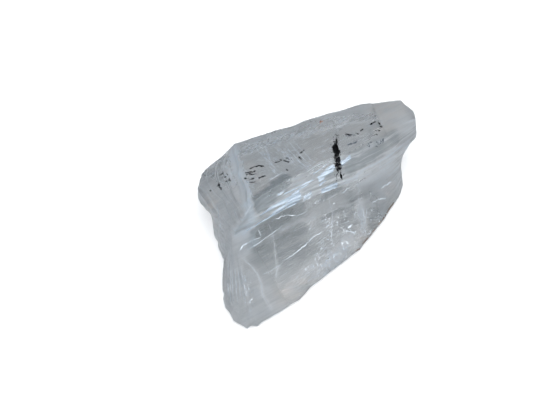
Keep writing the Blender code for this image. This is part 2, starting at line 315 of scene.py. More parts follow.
# Softly paler or darker stone: strength (below nought for darker), half width, and the path. Some of these are
# painted highlight and painted shade, as noted above them
TONES = (
    (0.50, 3.0, ((-22.0, 33.0), (-26.4, 21.0), (-29.8, 10.0), (-32.6, 3.0), (-34.5, -2.0))),
    (0.7, 2.6, ((-42.0, -3.6), (-35.0, -3.0))),
    # Paler stone between the bevel's bright slabs: partly milky stone, partly painted highlight
    (0.7, 1.4, ((-21.0, -2.6), (-9.6, -2.3))),
    (0.9, 2.0, ((-33.8, 1.9), (-33.3, -1.2), (-31.8, -2.5))),
    (0.2, 3.0, ((-43.4, -25.1), (-42.3, -29.8), (-41.0, -34.6))),
    (0.35, 2.5, ((-31.5, 31.1), (-31.0, 24.0), (-30.5, 19.6))),
    (0.45, 2.6, ((-12.4, -11.9), (-8.0, -11.0))),
    (0.15, 3.5, ((-8.0, -8.0), (-3.0, -9.0), (0.0, -13.0))),
    (0.35, 3.2, ((19.0, -8.2), (24.0, -9.0), (31.0, -8.0), (38.0, -5.5))),
    # Painted highlight: a soft bright line along the foot of the bevel
    (0.9, 0.7, ((9.0, -5.2), (15.2, -5.9), (25.0, -5.6), (33.6, -5.3), (42.9, -3.8), (50.0, -3.2))),
    (0.35, 0.8, ((-27.7, -5.6), (-28.1, -8.8), (-29.5, -12.7), (-32.2, -17.7), (-33.4, -20.7),
                 (-37.4, -26.1))),
    (0.4, 0.9, ((-44.8, -12.5), (-43.6, -15.9), (-42.6, -20.3), (-43.5, -24.7), (-45.2, -27.9),
                (-44.9, -34.0))),
    (0.7, 2.5, ((15.8, -9.0), (12.6, -16.9), (10.0, -22.8))),
    (0.4, 4.0, ((-34.0, -30.0), (-20.0, -28.0), (-6.0, -26.0), (6.0, -24.0))),
    (0.15, 8.0, ((-48.0, -2.0), (-44.0, 14.0), (-36.0, 28.0))),
    (-1.8, 2.2, ((-29.8, 0.2), (-25.2, 1.0), (-18.0, 2.8), (-13.0, 3.6))),
    (-1.0, 1.0, ((-30.2, -0.1), (-28.4, 0.5), (-25.5, 1.1))),
    # Painted shade beneath the overhanging step of the bevel, on the fin
    (-0.7, 3.0, ((-38.0, -10.0), (-34.0, -7.0), (-28.0, -6.5), (-20.0, -6.0), (-12.0, -6.4))),
    (-0.8, 1.0, ((-36.0, -5.3), (-26.0, -4.4), (-17.0, -4.1), (-10.0, -4.4))),
    (-0.8, 1.0, ((-2.0, -6.6), (4.0, -6.2), (9.0, -6.2))),
    (-0.5, 0.8, ((44.0, 17.0), (40.6, 12.0), (38.8, 6.0))),
    (-0.3, 6.0, ((-34.0, -15.0), (-24.0, -14.5), (-18.0, -16.0))),
    (-0.3, 4.0, ((6.0, -12.0), (14.0, -12.0))),
    (0.25, 4.0, ((28.0, -12.0), (38.0, -9.0))),
    # Painted shade: the right of the bevel is darkened where it catches less light
    (-0.8, 3.0, ((16.0, -2.5), (30.0, -2.0), (42.0, 0.0))),
)

# How frosted all of the surface is, how much more its steep sides are, and where along x the frost of the
# blunt end sets in
HAZE = 0.12
STEEP_HAZE = 0.25
BLUNT_FROST = (24.0, 60.0)

# Frosted stone, whose surface is dull: strength, half width, and the path
FROST = (
    (0.9, 4.0, ((12.0, -2.5), (30.0, -2.0), (45.0, 1.0))),
    (1.0, 6.0, ((-42.0, 22.0), (-39.0, 8.0), (-38.0, -2.0))),
    (0.5, 3.5, ((-22.0, 32.0), (-5.0, 28.5), (10.0, 25.5), (34.0, 22.0), (50.0, 18.0))),
    (1.0, 3.4, ((-40.0, -2.8), (-22.0, -1.6), (-9.0, -1.2), (2.0, -2.0), (12.0, -2.5))),
    (0.7, 5.0, ((24.0, -20.0), (34.0, -12.0), (44.0, -8.0))),
    (0.5, 2.5, ((-22.0, 33.0), (-26.4, 21.0), (-29.8, 10.0), (-32.6, 3.0), (-34.5, -2.0))),
    (0.6, 4.0, ((-14.0, -29.0), (-6.0, -27.0), (2.0, -23.0))),
    (0.6, 4.0, ((14.0, -18.0), (20.0, -10.0), (34.0, -7.0))),
)

# Warm stone, stained a little brown: strength, half width, and the path
WARM = (
    (0.70, 5.0, ((-24.0, 20.0), (-22.0, 14.0), (-24.0, 6.0))),
    (0.60, 6.0, ((6.0, 14.0), (18.0, 16.0), (30.0, 10.0))),
    (0.80, 6.0, ((42.0, 4.0), (46.0, 14.0), (54.0, 12.0))),
    (0.60, 4.0, ((-38.0, -31.0), (-26.0, -32.0))),
    (1.00, 5.0, ((-54.0, 4.0), (-50.0, 12.0), (-44.0, 16.0))),
    (0.60, 3.5, ((8.0, -24.5), (16.0, -23.0))),
    (0.50, 2.5, ((30.0, -15.0), (34.0, -12.0))),
)

# Flecks in a millimetre of a row of density 1, the length of their clumps, the noise below which a gap is
# left, and the size of flecks where the stone is thin
FLECK_SHARE = 3.4
FLECK_CLUMP = 0.8
FLECK_GAP = -0.15
THIN_FLECK = 0.7

# Rows of dark flecks in the top face: how dense each is, half width of the row, and the path
FLECK_ROWS = (
    (5.0, 0.40, ((-23.3, 16.3), (-19.8, 15.8), (-17.1, 14.3))),
    (4.0, 0.25, ((-25.8, 15.3), (-21.7, 14.0))),
    (4.0, 0.25, ((-26.0, 14.1), (-22.3, 12.5))),
    (4.5, 0.45, ((-27.6, 12.8), (-25.8, 11.1), (-24.0, 10.3))),
    (5.0, 0.35, ((-22.6, 9.6), (-19.5, 9.1))),
    (2.5, 0.20, ((-27.3, 9.9), (-23.9, 8.7))),
    (5.0, 0.40, ((-12.0, 13.2), (-8.7, 13.1), (-6.9, 10.0))),
    (2.5, 0.50, ((-7.7, 14.8), (-6.0, 12.7), (-5.2, 10.8))),
    (8.0, 0.60, ((-10.2, 7.5), (-9.4, 7.0))),
    (4.5, 0.40, ((0.1, 12.2), (2.6, 12.8))),
    (4.5, 0.40, ((-1.7, 10.5), (-1.8, 8.5))),
    (6.0, 0.35, ((-33.5, 23.5), (-32.0, 23.3))),
    (7.0, 0.40, ((-32.9, 22.0), (-32.3, 20.3))),
    (4.0, 0.30, ((-31.2, 22.1), (-31.3, 20.7))),
    (5.0, 0.30, ((-33.5, 19.3), (-31.9, 17.5))),
    (5.0, 0.30, ((-31.6, 19.0), (-32.1, 17.1))),
    (6.0, 0.40, ((-36.9, 20.3), (-35.7, 19.8))),
    (5.0, 0.30, ((-35.9, 20.8), (-36.6, 17.1))),
    (5.0, 0.30, ((-40.3, 20.9), (-39.8, 20.3))),
    (7.0, 0.50, ((23.1, 11.0), (25.1, 9.1))),
    (4.0, 0.40, ((27.5, 8.8), (28.2, 7.4))),
    (4.5, 0.35, ((29.9, 8.4), (31.7, 9.1))),
    (5.5, 0.45, ((36.1, 9.5), (39.1, 9.6))),
    (6.0, 0.45, ((40.4, 8.7), (39.4, 5.2))),
    (4.5, 0.30, ((35.8, 5.4), (37.4, 4.1))),
    (4.5, 0.30, ((33.5, 3.7), (35.4, 2.7))),
)

# Rows of paler, blue-grey flecks
FAINT_ROWS = (
    (4.0, 0.40, ((20.1, 4.8), (24.8, 4.1))),
    (2.5, 0.60, ((26.6, -0.5), (29.8, 0.9))),
    (2.5, 0.60, ((31.1, -0.5), (35.9, -0.4))),
    (2.0, 0.60, ((22.5, 9.5), (27.0, 8.0))),
)

# The black slit across the top face and down the bevel, and the lenses in it: how far aside, half width, and
# the shares of the way where each starts and ends
SLIT = ((20.6, 13.6), (18.6, 11.4), (15.8, 8.2), (13.1, 3.7), (11.8, 0.8), (10.4, -2.5), (9.9, -5.0))
SLIT_LENSES = (
    (0.30, 0.40, 0.17, 0.42),
    (-0.10, 1.15, 0.30, 0.68),
    (-0.95, 0.50, 0.37, 0.59),
    (0.70, 0.75, 0.40, 0.68),
    (-0.30, 1.10, 0.54, 0.89),
    (0.60, 0.50, 0.66, 0.87),
    (0.80, 0.40, 0.84, 0.99),
)

# Flecks along the slit: how many, how far they spread to each side, their heading, and the two powers of
# the beta curve by which they crowd towards its middle
SLIT_FLECKS = 210
SLIT_SPREAD = 0.85
SLIT_FLECK_HEADING = 55.0
SLIT_CROWDING = (1.8, 1.5)

# The rust speck: its place, its grains and how far they spread
RUST = (18.7, 23.1)
RUST_GRAINS = 16
RUST_SPREAD = 0.4

# Colours are linear. The stone is clear, and turns to these where it is warm, dark or milky. The dark and milky
# colours also carry the painted shade and painted highlight stored in the stone's tone
CLEAR_STONE = (0.70, 0.715, 0.73, 1.0)
WARM_STONE = (0.77, 0.72, 0.68, 1.0)
DEEP_STONE_AND_SHADE = (0.30, 0.335, 0.355, 1.0)
MILKY_STONE_AND_HIGHLIGHT = (0.82, 0.91, 0.99, 1.0)
STONE_TRANSMISSION = 0.9
STONE_IOR = 1.52
ABSORPTION_COLOUR = (0.78, 0.80, 0.82, 1.0)
ABSORPTION_DENSITY = 22.0

# Roughness of the stone from deep to milky, the tones at which it is so, the share of fine grain in those
# tones, and how much more frosted stone has. Marks have up to the spread more than their least
STONE_ROUGHNESS = (0.03, 0.22)
ROUGHNESS_TONES = (-0.2, 1.1)
GRAIN_SHARE = 0.4
FROST_ROUGHNESS = 0.38
MARK_ROUGHNESS_SPREAD = 0.2

# Unevenness of the stone: how many lumps there are in a millimetre along x, y and z
STREAKS = (0.03, 1.1, 1.1)
FINE_LINES = (0.012, 2.4, 2.4)
MOTTLE = (0.12, 0.3, 0.3)
GRAIN = (1.4, 1.8, 1.8)
SIDE_LAYERS = (0.07, 0.07, 1.6)

# The stretch of each noise over which the look changes, and how upright a side is where its layers fade
SOFT_CHANGE = (0.3, 0.7)
CRISP_CHANGE = (0.35, 0.65)
LAYER_CHANGE = (0.38, 0.62)
WARM_CHANGE = (0.3, 0.6)
LAYERED_SIDE = (0.35, 0.8)

# How far each unevenness makes the stone darker and paler
STREAK_TONE = (-0.09, 0.09)
LINE_TONE = (-0.06, 0.08)
MOTTLE_TONE = (-0.12, 0.14)
LAYER_TONE = (-0.25, 0.65)

# How high each unevenness stands in the bump, and the bump's strength and depth
STREAK_BUMP = 0.3
GRAIN_BUMP = 0.06
LAYER_BUMP = 0.4
BUMP_STRENGTH = 0.28
BUMP_DEPTH = 0.5

# Finishes of the marks: grains between two colours, grains in a millimetre, least roughness, and gloss
Finish = namedtuple("Finish", "first second per_mm least_roughness gloss")
GLOSSY = 0.5
DULL = 0.03
FINISHES = {
    "silk_white": Finish((0.74, 0.84, 0.95, 1.0), (0.94, 0.96, 0.97, 1.0), (0.2, 0.4, 0.4), 0.4, GLOSSY),
    "crack_white": Finish((0.42, 0.47, 0.53, 1.0), (0.68, 0.74, 0.80, 1.0), (0.15, 0.6, 0.6), 0.3, GLOSSY),
    # The glint finish is painted highlight: its bright colours stand in for light caught by the bevel's steps
    "painted_glint": Finish((0.30, 0.37, 0.45, 1.0), (0.57, 0.66, 0.75, 1.0), (0.12, 1.6, 1.6), 0.15, GLOSSY),
    # The spark finish is painted highlight: its bright colours stand in for light sparkling on broken cleavage
    "painted_sparkle": Finish((0.50, 0.57, 0.65, 1.0), (0.86, 0.91, 0.96, 1.0), (0.6, 0.6, 0.6), 0.2, GLOSSY),
    "fleck_black": Finish((0.003, 0.003, 0.004, 1.0), (0.012, 0.012, 0.015, 1.0), (0.5, 0.7, 0.7), 0.6, DULL),
    "fleck_faint": Finish((0.07, 0.09, 0.12, 1.0), (0.17, 0.19, 0.22, 1.0), (0.5, 0.7, 0.7), 0.6, DULL),
    "rust": Finish((0.16, 0.06, 0.03, 1.0), (0.36, 0.12, 0.05, 1.0), (2.0, 2.0, 2.0), 0.6, GLOSSY),
    "edge_brown": Finish((0.12, 0.08, 0.06, 1.0), (0.20, 0.17, 0.15, 1.0), (0.4, 0.4, 0.4), 0.6, GLOSSY),
}


# Camera, light and floor

def viewing_axes(azimuth, elevation):
    """Unit vectors out of the picture, to its right and up it, for a camera at these angles in degrees."""
    turn = math.radians(azimuth)
    tilt = math.radians(elevation)
    back = Vector((math.sin(turn) * math.cos(tilt), -math.cos(turn) * math.cos(tilt), math.sin(tilt)))
    right = Vector((math.cos(turn), math.sin(turn), 0.0))
    return back, right, back.cross(right)


def make_camera():
    """The camera at the photo's angle, set aside so that the aim point falls on the aim pixel."""
    back, right, up = viewing_axes(CAMERA_AZIMUTH, CAMERA_ELEVATION)
    pixels_per_unit = CAMERA_LENS / CAMERA_SENSOR * FRAME_WIDTH
    aside = (AIM_PIXEL[0] - FRAME_WIDTH / 2) / pixels_per_unit * CAMERA_DISTANCE
    below = (AIM_PIXEL[1] - FRAME_HEIGHT / 2) / pixels_per_unit * CAMERA_DISTANCE
    place = Vector(AIM_POINT) + back * CAMERA_DISTANCE - right * aside + up * below
    lens = bpy.data.cameras.new("camera")
    lens.lens = CAMERA_LENS
    lens.sensor_width = CAMERA_SENSOR
    lens.clip_start = 0.01
    camera = bpy.data.objects.new("camera", lens)
    camera.location = place * MM
    camera.rotation_mode = "QUATERNION"
    camera.rotation_quaternion = (-back).to_track_quat("-Z", "Y")
    bpy.context.scene.collection.objects.link(camera)
    bpy.context.scene.camera = camera


def make_dome():
    """A plain studio dome: pale where the camera looks straight at it, dimmer as a light."""
    world = bpy.data.worlds.new("studio")
    bpy.context.scene.world = world
    world.use_nodes = True
    tree = world.node_tree
    tree.nodes.clear()
    dome = add(tree, "ShaderNodeBackground", {"Color": DOME_COLOUR, "Strength": DOME_STRENGTH})
    backdrop = add(tree, "ShaderNodeBackground", {"Color": BACKDROP_COLOUR, "Strength": BACKDROP_STRENGTH})
    seen = add(tree, "ShaderNodeLightPath").outputs["Is Camera Ray"]
    mix = add(tree, "ShaderNodeMixShader", {"Fac": seen, 1: dome.outputs[0], 2: backdrop.outputs[0]})
    add(tree, "ShaderNodeOutputWorld", {"Surface": mix.outputs[0]})


def make_overhead_light():
    """A wide overhead light, like a large window in the ceiling."""
    light = bpy.data.lights.new("overhead", "SUN")
    light.energy = OVERHEAD_STRENGTH
    light.angle = math.radians(OVERHEAD_SPREAD)
    overhead = bpy.data.objects.new("overhead", light)
    overhead.rotation_euler = (math.radians(OVERHEAD_TILT[0]), math.radians(OVERHEAD_TILT[1]), 0.0)
    overhead.visible_camera = False
    bpy.context.scene.collection.objects.link(overhead)


def make_softbox(name, direction, width, height, radiance):
    """A soft rectangular light that faces the crystal from a direction, unseen by the camera."""
    light = bpy.data.lights.new(name, "AREA")
    light.shape = "RECTANGLE"
    light.size = width * MM
    light.size_y = height * MM
    light.energy = radiance * math.pi * width * height * MM * MM
    box = bpy.data.objects.new(name, light)
    away = Vector(direction).normalized()
    box.location = away * SOFTBOX_DISTANCE * MM
    box.rotation_mode = "QUATERNION"
    box.rotation_quaternion = away.to_track_quat("Z", "Y")
    box.visible_camera = False
    bpy.context.scene.collection.objects.link(box)


def make_floor():
    """A plain pale floor, lit a little from beneath as on a light table."""
    half = FLOOR_HALF * MM
    corners = [(-half, -half, 0), (half, -half, 0), (half, half, 0), (-half, half, 0)]
    mesh = bpy.data.meshes.new("floor")
    mesh.from_pydata(corners, [], [(0, 1, 2, 3)])
    floor = bpy.data.objects.new("floor", mesh)
    floor.location.z = -FLOOR_DROP * MM
    material, tree, shader = new_material("floor")
    fill(tree, shader, {
        "Base Color": FLOOR_COLOUR, "Roughness": FLOOR_ROUGHNESS, "Specular IOR Level": FLOOR_GLOSS,
        "Emission Color": (1.0, 1.0, 1.0, 1.0), "Emission Strength": FLOOR_GLOW,
    })
    mesh.materials.append(material)
    bpy.context.scene.collection.objects.link(floor)


# Fields over the surface: one number for each point of the fine mesh

def smooth_step(low, high, values):
    """0 below low and 1 above high, with a smooth rise between them."""
    share = np.clip((values - low) / (high - low), 0.0, 1.0)
    return share * share * (3.0 - 2.0 * share)


def noise_field(places, pitches, seed):
    """Smooth noise between about -1 and 1, whose lumps are as long as the pitches along x, y and z."""
    scaled = places / np.array(pitches) + seed
    return np.array([noise.noise(Vector(spot)) for spot in scaled])


def wandering(path, sway, seed, step=STEP):
    """A path cut into short steps that wander to each side of it."""
    points = [Vector(point) for point in path]
    steps = []
    for start, end in zip(points, points[1:]):
        run = end - start
        aside = Vector((-run.y, run.x)).normalized()
        count = max(1, round(run.length / step))
        for index in range(count):
            spot = start + run * (index / count)
            steps.append(spot + aside * sway * noise.noise(Vector((spot.x, spot.y, seed))))
    steps.append(points[-1])
    return np.array(steps)


def path_distance(spots, path):
    """Each spot's distance to a path."""
    nearest = np.full(len(spots), np.inf)
    for start, run in zip(path[:-1], np.diff(path, axis=0)):
        away = spots - start
        along = np.clip(away @ run / (run @ run), 0.0, 1.0)
        nearest = np.minimum(nearest, np.linalg.norm(away - along[:, None] * run, axis=1))
    return nearest


def soft_marks(spots, marks):
    """The sum of the soft marks at each spot."""
    total = np.zeros(len(spots))
    for index, (strength, half_width, path) in enumerate(marks):
        distance = path_distance(spots, wandering(path, MARK_SWAY * half_width, seed=7.7 * index))
        total += strength * (1.0 - smooth_step(0.0, MARK_FADE * half_width, distance))
    return total


# The crystal's surface as a fine mesh

def mesh_numbers(mesh):
    """The points of a mesh in millimetres, and their normals."""
    places = np.zeros(3 * len(mesh.vertices))
    normals = np.zeros(3 * len(mesh.vertices))
    mesh.vertices.foreach_get("co", places)
    mesh.vertex_normals.foreach_get("vector", normals)
    return places.reshape(-1, 3) / MM, normals.reshape(-1, 3)


def round_blunt_end(mesh):
    """Rounds the blunt end, as if worn: each point moves towards the middle of its neighbours."""
    places, _ = mesh_numbers(mesh)
    edges = np.zeros(2 * len(mesh.edges), dtype=np.int64)
    mesh.edges.foreach_get("vertices", edges)
    first, second = edges.reshape(-1, 2).T
    neighbours = np.bincount(edges, minlength=len(places))[:, None]
    share = BLUNT_SHARE * smooth_step(*BLUNT_END, places[:, 0])[:, None]
    for _ in range(BLUNT_SMOOTHING):
        total = np.zeros_like(places)
        np.add.at(total, first, places[second])
        np.add.at(total, second, places[first])
        places += share * (total / neighbours - places)
    mesh.vertices.foreach_set("co", (places * MM).ravel())
    mesh.update()


def fine_crystal():
    """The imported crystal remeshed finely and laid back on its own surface."""
    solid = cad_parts["crystal_blade"]
    crystal = bpy.data.objects.new("crystal", solid.data.copy())
    bpy.context.scene.collection.objects.link(crystal)
    remesh = crystal.modifiers.new("fine", "REMESH")
    remesh.mode = "VOXEL"
    remesh.voxel_size = FINE_VOXEL * MM
    wrap = crystal.modifiers.new("wrap", "SHRINKWRAP")
    wrap.target = solid
    wrap.wrap_method = "NEAREST_SURFACEPOINT"
    graph = bpy.context.evaluated_depsgraph_get()
    mesh = bpy.data.meshes.new_from_object(crystal.evaluated_get(graph))
    crystal.modifiers.clear()
    crystal.data = mesh
    round_blunt_end(mesh)
    mesh.shade_smooth()
    return crystal


def layer_relief(places, steepness):
    """Edges of thin cleavage sheets on the steep sides, as a saw of ledges up the side."""
    drift = noise_field(places, LAYER_DRIFT, seed=4.0)
    drift += FINE_DRIFT_SHARE * noise_field(places, FINE_DRIFT, seed=9.0)
    height = places[:, 2] / LAYER_PITCH + drift
    ledge = height - np.floor(height)
    strength = 0.5 + noise_field(places, STRONG_LAYERS, seed=15.0)
    return LAYER_DEPTH * steepness * ledge * np.clip(strength, 0.0, 1.2)


def streak_relief(places, flatness):
    """Long shallow grooves along the flat tops."""
    coarse = noise_field(places, GROOVES, seed=21.0)
    fine = noise_field(places, FINE_GROOVES, seed=27.0)
    return STREAK_DEPTH * flatness * np.clip(0.5 + coarse + FINE_GROOVE_SHARE * fine, 0.0, 1.5)


def store_fields(mesh, places, steepness, broken):
    """Stores on the mesh's points how pale, how warm and how frosted the stone is. The paleness holds painted
    shade and painted highlight, and the low, thin stone is darkened as painted shade.
    """
    thin = 1.0 - smooth_step(*THIN_BELOW, places[:, 2])
    # Painted shade: the low, thin stone of the fin and bevel is darkened
    painted_shade_of_thin_stone = thin * (THIN_STONE_PAINTED_SHADE + THIN_STONE_PAINTED_SHADE_ELSEWHERE * (1.0 - broken))
    dull = HAZE + STEEP_HAZE * steepness + broken + smooth_step(*BLUNT_FROST, places[:, 0])
    fields = {
        "tone": soft_marks(places[:, :2], TONES) - painted_shade_of_thin_stone,
        "warm": soft_marks(places[:, :2], WARM),
        "frost": np.clip(soft_marks(places[:, :2], FROST) + dull, 0.0, 1.0),
    }
    for name, values in fields.items():
        mesh.attributes.new(name, "FLOAT", "POINT").data.foreach_set("value", values.astype(np.float32))


def carve(mesh):
    """Stores the stone's tones and cuts the relief into its surface."""
    places, normals = mesh_numbers(mesh)
    upright = normals[:, 2]
    steepness = 1.0 - smooth_step(*STEEP, np.abs(upright))
    broken = 1.0 - smooth_step(*BROKEN_END, places[:, 0])
    store_fields(mesh, places, steepness, broken)
    layered = LAYERS_ELSEWHERE + (1.0 - LAYERS_ELSEWHERE) * broken
    depth = layer_relief(places, steepness * layered)
    depth += streak_relief(places, smooth_step(*FLAT, upright))
    depth *= smooth_step(*NOT_UNDER, upright)
    mesh.vertices.foreach_set("co", ((places - normals * depth[:, None]) * MM).ravel())
    mesh.update()


def make_crystal():
    """The clear stone itself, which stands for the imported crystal."""
    crystal = fine_crystal()
    carve(crystal.data)
    crystal.data.materials.clear()
    crystal.data.materials.append(stone_material())
    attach(crystal, "root")
    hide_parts("crystal_blade")
    return crystal


# The marks of the stone, as closed solids inside it and let into its surface

class Inside:
    """Tells how high the crystal reaches over any place."""

    def __init__(self, crystal):
        self.shape = BVHTree.FromObject(crystal, bpy.context.evaluated_depsgraph_get())

    def top(self, x, y):
        """The height of the crystal's top at a place, or nought outside it."""
        hit = self.shape.ray_cast(Vector((x, y, ABOVE_ALL)) * MM, Vector((0.0, 0.0, -1.0)))[0]
        return hit.z / MM if hit else 0.0

    def holds(self, spot, margin):
        """True if the spot has the margin of stone above and below it."""
        return self.top(spot[0], spot[1]) - margin > spot[2] > margin


def new_piece(name, corners, faces, material):
    """A piece of the crystal made from corners in millimetres."""
    mesh = bpy.data.meshes.new(name)
    mesh.from_pydata((np.asarray(corners) * MM).tolist(), [], faces)
    shell = bmesh.new()
    shell.from_mesh(mesh)
    bmesh.ops.recalc_face_normals(shell, faces=shell.faces)
    shell.to_mesh(mesh)
    shell.free()
    mesh.materials.append(material)
    piece = bpy.data.objects.new(name, mesh)
    bpy.context.scene.collection.objects.link(piece)
    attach(piece, "root")


class Marks:
    """Gathers many small closed solids into one piece."""

    def __init__(self, inside, seed):
        self.inside = inside
        self.chance = np.random.default_rng(seed)
        self.corners = []
        self.faces = []

    def make_piece(self, name, material):
        """Makes one piece of all that was gathered."""
        new_piece(name, self.corners, self.faces, material)


class Slivers(Marks):
    """Slim eight-sided slivers that lie inside the stone."""

    SIDES = ((0, 2, 4), (2, 1, 4), (1, 3, 4), (3, 0, 4), (2, 0, 5), (1, 2, 5), (3, 1, 5), (0, 3, 5))

    def add(self, middle, angle, half_length, half_width, tilt):
        """Adds one sliver along an angle in degrees, unless the stone doesn't hold it all."""
        turn = math.radians(angle)
        along = np.array((math.cos(turn), math.sin(turn), 0.0))
        flat = np.array((-math.sin(turn), math.cos(turn), 0.0))
        lean = math.radians(tilt)
        across = flat * math.cos(lean) + np.array((0.0, 0.0, math.sin(lean)))
        over = np.array((0.0, 0.0, math.cos(lean))) - flat * math.sin(lean)
        ends = [middle + along * half_length, middle - along * half_length]
        ends += [middle + across * half_width, middle - across * half_width]
        if not all(self.inside.holds(end, SLIVER_MARGIN) for end in ends):
            return
        ends += [middle + over * SLIVER_HALF_HEIGHT, middle - over * SLIVER_HALF_HEIGHT]
        first = len(self.corners)
        self.corners += ends
        self.faces += [tuple(first + corner for corner in side) for side in self.SIDES]


def spread_along(chance, path, half_width):
    """A random place in a band along a path, thinner towards the band's edges."""
    runs = np.diff(path, axis=0)
    lengths = np.linalg.norm(runs, axis=1)
    index = chance.choice(len(runs), p=lengths / lengths.sum())
    aside = np.array((-runs[index][1], runs[index][0])) / lengths[index]
    return path[index] + runs[index] * chance.random() + aside * half_width * chance.normal(0.0, 0.5)


def band_area(path, half_width):
    """The area of a band along a path."""
    return 2.0 * half_width * np.linalg.norm(np.diff(path, axis=0), axis=1).sum()


def add_silk_band(slivers, density, half_width, angle, band):
    """Slivers close under the surface, in a band along a path."""
    chance = slivers.chance
    path = wandering(band, 0.5 * half_width, seed=3.0)
    for _ in range(round(density * SILK_PER_AREA * band_area(path, half_width))):
        x, y = spread_along(chance, path, half_width)
        depth = SILK_DEPTH + abs(chance.normal(0.0, SILK_DEPTH_SPREAD))
        middle = np.array((x, y, slivers.inside.top(x, y) - depth))
        half_length = chance.uniform(*BAND_SLIVER.half_lengths)
        heading = chance.normal(angle, BAND_SLIVER.spread)
        slimness = chance.uniform(*BAND_SLIVER.half_widths)
        slivers.add(middle, heading, half_length, slimness, chance.normal(0.0, BAND_SLIVER.tilt))


def add_loose_silk(slivers):
    """Slivers along the crystal all through it, in patches."""
    chance = slivers.chance
    low, high = np.array(cad_box) / MM
    for _ in range(LOOSE_SILK):
        x = chance.uniform(low[0], high[0])
        y = chance.uniform(low[1], high[1])
        patch = noise.noise(Vector((x / LOOSE_PATCH[0], y / LOOSE_PATCH[1], 2.0)))
        if patch < chance.uniform(*LOOSE_FADE):
            continue
        middle = np.array((x, y, chance.uniform(*LOOSE_HEIGHTS) * slivers.inside.top(x, y)))
        heading = chance.normal(LOOSE_HEADING, LOOSE_SLIVER.spread)
        half_length = chance.uniform(*LOOSE_SLIVER.half_lengths)
        half_width = chance.uniform(*LOOSE_SLIVER.half_widths)
        slivers.add(middle, heading, half_length, half_width, chance.normal(0.0, LOOSE_SLIVER.tilt))


def make_silk(inside, material):
    """White silk: bands of slivers, and loose ones."""
    slivers = Slivers(inside, seed=7)
    for band in SILK:
        add_silk_band(slivers, *band)
    add_loose_silk(slivers)
    slivers.make_piece("silk", material)


class Inlays(Marks):
    """Thin closed strips let into the crystal's surface, each a hair proud of it."""

    ACROSS = (-1.0, -0.65, -0.3, 0.0, 0.3, 0.65, 1.0)
    PROUD = (-0.02, 0.04, 0.05, 0.05, 0.05, 0.04, -0.02)
    LEAST_HEIGHT = 0.1
    MOST_HEIGHT = cad_box[1][2] / MM

    def ring(self, spot, side, half_width, depth):
        """The corners across a strip: those on the surface, and the one beneath them."""
        corners = []
        for share, proud in zip(self.ACROSS, self.PROUD):
            x, y = spot + side * half_width * share
            corners.append((x, y, min(self.inside.top(x, y) + proud, self.MOST_HEIGHT)))
        corners.append((*spot, corners[len(corners) // 2][2] - depth))
        return corners

    def add(self, path, half_widths, depth):
        """Adds a strip along a path, if the crystal is there all along it."""
        steps = zip(path, side_directions(path), half_widths)
        rings = [self.ring(spot, side, half_width, depth) for spot, side, half_width in steps]
        if min(corner[2] for ring in rings for corner in ring) < self.LEAST_HEIGHT:
            return
        count = len(rings[0])
        first = len(self.corners)
        for ring in rings:
            self.corners += ring
        for here in range(first, first + count * (len(rings) - 1), count):
            for corner in range(count):
                after = (corner + 1) % count
                self.faces.append((here + corner, here + after, here + count + after, here + count + corner))
        last = len(self.corners) - count
        self.faces.append(tuple(range(first + count - 1, first - 1, -1)))
        self.faces.append(tuple(range(last, last + count)))

    def add_speck(self, middle, angle, half_length, half_width):
        """Adds a short strip, pointed at both ends."""
        turn = math.radians(angle)
        reach = np.array((math.cos(turn), math.sin(turn))) * half_length
        path = np.array((middle - reach, middle - 0.4 * reach, middle + 0.4 * reach, middle + reach))
        self.add(path, np.array((0.05, 1.0, 0.9, 0.05)) * half_width, SPECK_DEPTH)

    def scatter(self, speck, middle, heading, size=1.0):
        """Adds a speck of a kind, turned at random about a heading."""
        angle = self.chance.normal(heading, speck.spread)
        half_length = size * self.chance.uniform(*speck.half_lengths)
        self.add_speck(middle, angle, half_length, size * self.chance.uniform(*speck.half_widths))


def side_directions(path):
    """The direction to the left of a path at each step."""
    runs = np.gradient(path, axis=0)
    return np.column_stack((-runs[:, 1], runs[:, 0])) / np.linalg.norm(runs, axis=1)[:, None]


def taper(count, ends):
    """Shares of a strip's half width that fall to nought over the ends of it."""
    along = np.linspace(0.0, 1.0, count)
    return np.clip(np.minimum(along, 1.0 - along) / ends, 0.06, 1.0)


def ragged(path, roughness, pitch):
    """How much of its half width a strip has at each step, with a ragged edge."""
    return np.array([1.0 + roughness * noise.noise(Vector((*spot, 8.0)) / pitch) for spot in path])


def make_cracks(inside, material):
    """White cracks that reach the surface."""
    strips = Inlays(inside, seed=11)
    for index, (half_width, sway, crack) in enumerate(CRACKS):
        path = wandering(crack, sway, seed=3.1 * index)
        half_widths = half_width * taper(len(path), CRACK_TAPER) * ragged(path, *CRACK_EDGE)
        strips.add(path, half_widths, CRACK_DEPTH)
    strips.make_piece("cracks", material)


def make_glints(inside, material):
    """Painted highlights: bright slabs on the bevel where its cleavage steps catch the light."""
    strips = Inlays(inside, seed=13)
    for index, (first, last, *slab) in enumerate(GLINTS):
        path = wandering(slab, GLINT_SWAY, seed=2.3 * index, step=FINE_STEP)
        half_widths = np.linspace(first, last, len(path)) * ragged(path, *GLINT_EDGE)
        strips.add(path, half_widths, CRACK_DEPTH)
    strips.make_piece("glints", material)


def make_sparks(inside, material):
    """Painted sparkle highlights: small bright sparks where the cleavage is broken up, most of them of the
    least size.
    """
    strips = Inlays(inside, seed=17)
    chance = strips.chance
    for density, half_width, band in SPARKS:
        path = wandering(band, 0.3 * half_width, seed=4.0)
        for _ in range(round(density * band_area(path, half_width))):
            spot = spread_along(chance, path, half_width)
            size = SPARK_LEAST + SPARK_MORE * chance.random() ** 4
            angle = chance.normal(SPARK_HEADING, SPARK_SPREAD)
            strips.add_speck(spot, angle, size * chance.uniform(*SPARK_STRETCH), size)
    strips.make_piece("sparks", material)


